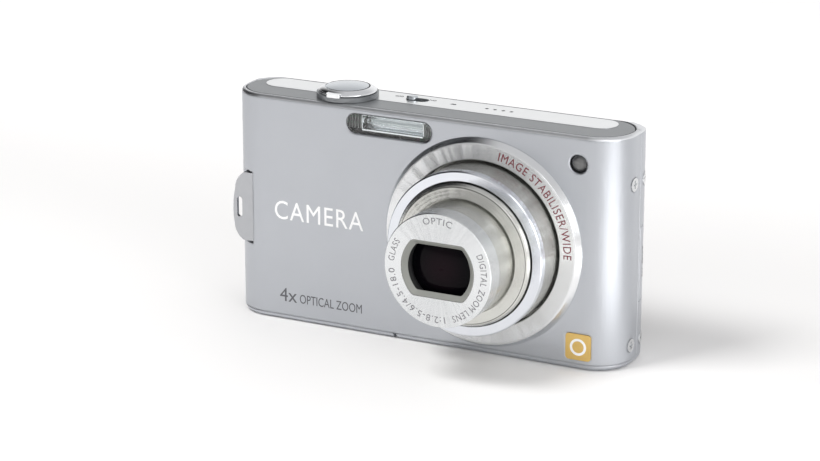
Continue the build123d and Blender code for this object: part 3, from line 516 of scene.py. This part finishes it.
# lettering round the lens, from one angle to the other in degrees
bezelNote = {"words": "IMAGE STABILISER/WIDE", "height": 1.85, "radius": 20.6, "start": 78, "end": -1}
ringLetter(
    "bezel_note", bezelNote["words"], bezelNote["height"], bezelNote["radius"], bezelNote["start"],
    bezelNote["end"], paintRed, "camera_body", lowest("lens_bezel", 1),
)
nameLook = {"height": 1.45, "radius": 10.75}
nameNotes = (
    ("name_top", "OPTIC", 108, 72),
    ("name_right", "DIGITAL ZOOM LENS", 27, -70),
    ("name_low", "1:2.8-5.6/4.5-18.0", -79, -174),
    ("name_left", "GLASS", -184, -211),
)
for name, words, start, end in nameNotes:
    ringLetter(
        name, words, nameLook["height"], nameLook["radius"], start, end, engraved, "lens_inner",
        lowest("name_ring", 1),
    )
print("front lettering made")

# badge mark: a plain ring
badgeRing = {"radius": 1.9, "hole": 1.35, "thickness": 0.08}
badgeMid = middle("front_badge")
disc(
    "badge_ring", badgeRing["radius"], badgeRing["thickness"],
    (badgeMid.x, lowest("front_badge", 1), badgeMid.z), onFront, paintWhite, "camera_body",
    hole=badgeRing["hole"],
)

# ribbed ends and edge strips behind the flash window
ribs = {"wide": 0.34, "thick": 0.5, "tall": 2.9, "pitch": 0.72, "behind": 0.45}
flashMid = middle("flash_tube") / mm
flashBack = highest("flash_window", 1) / mm + ribs["behind"]
for name, first, count in (("flash_ribs_left", -17.4, 5), ("flash_ribs_right", 1.15, 3)):
    block(
        name, (ribs["wide"], ribs["thick"], ribs["tall"]), (first, flashBack, flashMid.z), ribGrey,
        "camera_body", copies=count, pitch=(ribs["pitch"], 0, 0),
    )
strip = {"wide": 0.22, "thick": 0.4, "tall": 3.0}
for name, x in (("flash_edge_left", -14.35), ("flash_edge_right", 0.72)):
    block(
        name, (strip["wide"], strip["thick"], strip["tall"]), (x, flashBack, flashMid.z), chrome,
        "camera_body",
    )

# lamp collar, set in behind the front face
collar = {"radius": 1.95, "hole": 1.75, "thickness": 0.2, "setIn": 1.1}
lampMid = middle("af_lamp_lens")
disc(
    "lamp_collar", collar["radius"], collar["thickness"],
    (lampMid.x, frontFace + collar["setIn"] * mm, lampMid.z), onFront, greyMoulding, "camera_body",
    hole=collar["hole"],
)

# thumb rest: raised dots beside the dial
dot = {"x": -22.6, "z": 36.2, "step": 2.0, "rows": 5, "columns": 3, "size": 0.9, "rise": 0.12}
block(
    "thumb_dots", (dot["size"], dot["rise"], dot["size"]), (dot["x"], rearFace / mm, dot["z"]), keySilver,
    "camera_body", copies=dot["columns"], pitch=(dot["step"], 0, 0), rows=dot["rows"],
    rise=(0, 0, dot["step"]),
)

# contacts of the socket and of the battery
socketPin = {"size": (1.2, 0.25, 0.35), "inset": 0.75, "below": 2.25, "count": 10, "pitch": 0.5}
socketMid = middle("av_socket") / mm
pinAt = (highest("av_socket", 0) / mm - socketPin["inset"], socketMid.y, socketMid.z - socketPin["below"])
block(
    "socket_contacts", socketPin["size"], pinAt, brass, "camera_body",
    copies=socketPin["count"], pitch=(0, 0, socketPin["pitch"]),
)
batteryPad = {"size": (2.2, 3.0, 0.1), "aside": 11, "count": 4, "pitch": 3.2, "bevel": 0.02}
batteryMid = middle("battery") / mm
padAt = (batteryMid.x - batteryPad["aside"], batteryMid.y, lowest("battery", 2) / mm)
block(
    "battery_contacts", batteryPad["size"], padAt, brass, "camera_body",
    bevel=batteryPad["bevel"], copies=batteryPad["count"], pitch=(batteryPad["pitch"], 0, 0),
)

# marks on the keys: words, height, and how far each is from the middle of the pad
keyFace = highest("cursor_up", 1)
padMid = middle("menu_button")
padMarks = {
    "up": {"words": "+/-", "height": 1.1, "x": 0, "z": 6.2},
    "down": {"words": "CLOSE", "height": 0.8, "x": 0, "z": -6.3},
    "left": {"words": "FLASH", "height": 0.75, "x": -6.3, "z": 0},
    "right": {"words": "TIMER", "height": 0.75, "x": 6.3, "z": 0},
}
for key, mark in padMarks.items():
    at = (padMid.x + mark["x"] * mm, keyFace, padMid.z + mark["z"] * mm)
    letter("mark_" + key, mark["words"], mark["height"], at, onRear, paintGrey, "key_" + key)
menuMark = {"words": "MENU\nSET", "height": 0.85}
at = (padMid.x, highest("menu_button", 1), padMid.z)
letter("mark_menu", menuMark["words"], menuMark["height"], at, onRear, paintGrey, "key_menu")
keyNote = {"height": 1.0, "rise": 3.1}
for key, words in (("display", "DISPLAY"), ("delete", "DELETE")):
    keyMid = middle(key + "_button")
    at = (keyMid.x, rearFace, keyMid.z + keyNote["rise"] * mm)
    letter(key + "_note", words, keyNote["height"], at, onRear, paintWhite, "camera_body")

# marks of the dial, its index and the status lamp
dialLook = {"marks": ("A", "1", "2", "3", "M", "P"), "height": 1.5, "radius": 4.6}
dialMid = middle("mode_dial")
dialFace = highest("mode_dial", 1)
for turn, words in enumerate(dialLook["marks"]):
    angle = radians(90 + 360 / len(dialLook["marks"]) * turn)
    reach = dialLook["radius"] * mm
    at = (dialMid.x + reach * cos(angle), dialFace, dialMid.z + reach * sin(angle))
    name = "dial_mark_" + str(turn + 1)
    letter(name, words, dialLook["height"], at, onRear, paintWhite, "dial")
dialIndex = {"radius": 0.3, "thickness": 0.06, "rise": 7.3, "sides": 20}
at = (dialMid.x, rearFace, dialMid.z + dialIndex["rise"] * mm)
disc(
    "dial_index", dialIndex["radius"], dialIndex["thickness"], at, onRear, paintWhite, "camera_body",
    sides=dialIndex["sides"],
)
statusLamp = {"radius": 0.55, "thickness": 0.2, "rim": 0.06, "aside": 9.0, "below": 8.6, "sides": 28}
at = (dialMid.x - statusLamp["aside"] * mm, rearFace, dialMid.z - statusLamp["below"] * mm)
disc(
    "status_lamp", statusLamp["radius"], statusLamp["thickness"], at, onRear, lampGreen, "camera_body",
    rim=statusLamp["rim"], sides=statusLamp["sides"],
)

# words either side of the power switch
switchNote = {"height": 0.8, "rearward": 1.0}
switchMid = middle("power_switch")
for name, words, aside in (("switch_off", "OFF", -3.6), ("switch_on", "ON", 4.6)):
    at = (switchMid.x + aside * mm, switchMid.y + switchNote["rearward"] * mm, topFace)
    letter(name, words, switchNote["height"], at, onTop, paintGrey, "camera_body")

# the port door's words follow the rounded corner
portLook = {"words": "AV OUT", "height": 1.3, "spacing": 1.1, "cornerRadius": 8.0}
cornerRadius = portLook["cornerRadius"] * mm
cornerAxis = (highest("rear_casing", 0) - cornerRadius, rearFace - cornerRadius)
portMid = middle("port_door")
portNote = flatText(portLook["words"], portLook["height"], spacing=portLook["spacing"])
for point in portNote.data.vertices:
    reach = cornerRadius + point.co.z
    turn = (portMid.y - cornerAxis[1] - point.co.y) / cornerRadius
    point.co = (cornerAxis[0] + reach * cos(turn), cornerAxis[1] + reach * sin(turn), portMid.z + point.co.x)
keep(portNote, "port_note", paintGrey, "port_flap")

doorNote = {"words": "OPEN", "height": 1.6}
doorMid = middle("battery_door")
at = (doorMid.x, doorMid.y, lowest("battery_door", 2))
letter("door_note", doorNote["words"], doorNote["height"], at, onBase, paintGrey, "door")
print("details made")

# floor: it glows a little behind the body, and in a patch that the right corner mirrors
glow = {
    "patchX": 128.0, "patchY": -52.0, "patchStart": 74.0, "patchEnd": 20.0, "strength": 2.0,
    "behindStart": 40.0, "behindEnd": 220.0, "behind": 0.14, "everywhere": 0.01,
}
clearSelection()
bpy.ops.mesh.primitive_plane_add(size=8)
floor = bpy.context.object
floor.name = "studio_floor"
floorFinish = Finish("studioFloor", Roughness=0.9, Specular_IOR_Level=0.2)
floorFinish.drive("Base Color", colour(0.93, 0.92, 0.91))
sideways = floorFinish.x - glow["patchX"]
forwards = floorFinish.y - glow["patchY"]
away = floorFinish.maths("SQRT", sideways * sideways + forwards * forwards)
patch = floorFinish.ramp(away, glow["patchStart"], glow["patchEnd"])
behind = floorFinish.ramp(floorFinish.y, glow["behindStart"], glow["behindEnd"])
faint = behind * glow["behind"] + glow["everywhere"]
floorFinish.drive("Emission Color", floorFinish.mix(patch, floorFinish.join(faint, faint, faint), grey(1.0)))
floorFinish.drive("Emission Strength", glow["strength"])
floor.data.materials.append(floorFinish.material)

# studio air: bright all round, softer overhead, dark to the left and dimmer in a spot in front
studio = {
    "darkSide": (-0.90, -0.10, 0.35), "darkStart": 0.50, "darkFull": 0.82,
    "dimSpot": (-0.30, -0.95, 0.12), "dimStart": 0.88, "dimFull": 0.97,
    "overheadStart": 0.25, "overheadFull": 0.75, "strength": 1.0,
}
world = bpy.data.worlds.new("studioAir")
world.use_nodes = True
bpy.context.scene.world = world
air = Shading(world.node_tree)
skyward = Wire(air.tree, air.tree.nodes.new("ShaderNodeTexCoord").outputs["Generated"])


def towards(direction):  # 1 where the air lies that way, 0 at right angles to it
    inputs = {0: skyward, 1: Vector(direction).normalized()}
    return air.node("ShaderNodeVectorMath", {"operation": "DOT_PRODUCT"}, inputs, "Value")


overhead = air.ramp(towards((0, 0, 1)), studio["overheadStart"], studio["overheadFull"])
darkened = air.ramp(towards(studio["darkSide"]), studio["darkStart"], studio["darkFull"])
dimmed = air.ramp(towards(studio["dimSpot"]), studio["dimStart"], studio["dimFull"])
airTone = air.mix(overhead, grey(1.0), colour(0.62, 0.62, 0.63))
airTone = air.mix(darkened, airTone, colour(0.02, 0.02, 0.022))
airTone = air.mix(dimmed, airTone, colour(0.55, 0.55, 0.555))
backdrop = air.tree.nodes["Background"]
feed(air.tree, backdrop.inputs["Color"], airTone)
backdrop.inputs["Strength"].default_value = studio["strength"]

softboxes = {
    "keyBox": {"at": (-0.22, -0.26, 0.56), "size": 0.24, "power": 2.5, "glossy": False},
    "rightBox": {"at": (0.50, -0.24, 0.15), "size": 0.25, "power": 0.5, "glossy": True},
    "lowBox": {"at": (0.13, -0.14, 0.17), "size": 0.08, "power": 0.03, "glossy": True},
}
bodyMiddle = (0, 0, 0.025)


def aim(thing, target):
    thing.rotation_euler = (Vector(target) - thing.location).to_track_quat("-Z", "Y").to_euler()


for name, box in softboxes.items():
    light = bpy.data.lights.new(name, "AREA")
    light.energy = box["power"]
    light.size = box["size"]
    lamp = bpy.data.objects.new(name, light)
    bpy.context.scene.collection.objects.link(lamp)
    lamp.visible_camera = False
    lamp.visible_glossy = box["glossy"]
    lamp.location = box["at"]
    aim(lamp, bodyMiddle)

view = {"place": (0.25982, -0.52174, 0.20626), "aim": (-0.00208, -0.00975, 0.02573), "lens": 121.05}
cameraData = bpy.data.cameras.new("studioCamera")
cameraData.lens = view["lens"]
cameraData.sensor_width = 36.0
cameraData.clip_start = 0.01
studioCamera = bpy.data.objects.new("studioCamera", cameraData)
bpy.context.scene.collection.objects.link(studioCamera)
studioCamera.location = view["place"]
aim(studioCamera, view["aim"])
bpy.context.scene.camera = studioCamera
bpy.context.scene.view_settings.view_transform = "Standard"
print("stage set")
